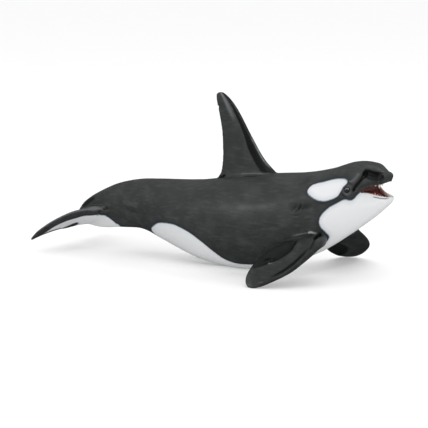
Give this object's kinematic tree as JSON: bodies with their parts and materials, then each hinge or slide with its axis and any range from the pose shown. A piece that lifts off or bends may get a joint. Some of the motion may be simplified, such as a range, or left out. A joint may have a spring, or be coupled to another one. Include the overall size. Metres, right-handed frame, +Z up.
{
  "type": "toy orca figure",
  "caption": "Moulded plastic toy orca with tall dorsal fin, spread flippers, drooping flukes, raised head and open toothed mouth; rests on its belly and flipper tips.",
  "frame": {"origin": "bottom centre of the figure's bounding box, at floor level", "axes": "+X towards the snout, +Y to the figure's left, +Z up; the body's middle plane lies about 4 mm to the right of the origin, because the left flipper reaches further out"},
  "size_m": [0.1852, 0.0856, 0.0839],
  "materials": {
    "black_paint": "soft PVC with satin charcoal black paint, a little glossier on creases and fin edges",
    "white_paint": "soft PVC with satin, slightly cool white paint",
    "mouth_red": "soft PVC with satin pink-red paint",
    "eye_gloss": "glossy black paint"
  },
  "bodies": {
    "root": {"head": "black_paint", "lower_jaw": "white_paint", "tongue": "mouth_red", "torso": "black_paint", "tail_stock": "black_paint", "dorsal_fin": "black_paint", "flipper_right": "black_paint", "flipper_left": "black_paint", "fluke_right": "black_paint", "fluke_left": "black_paint", "eye_right": "eye_gloss", "eye_left": "eye_gloss"}
  },
  "joints": []
}
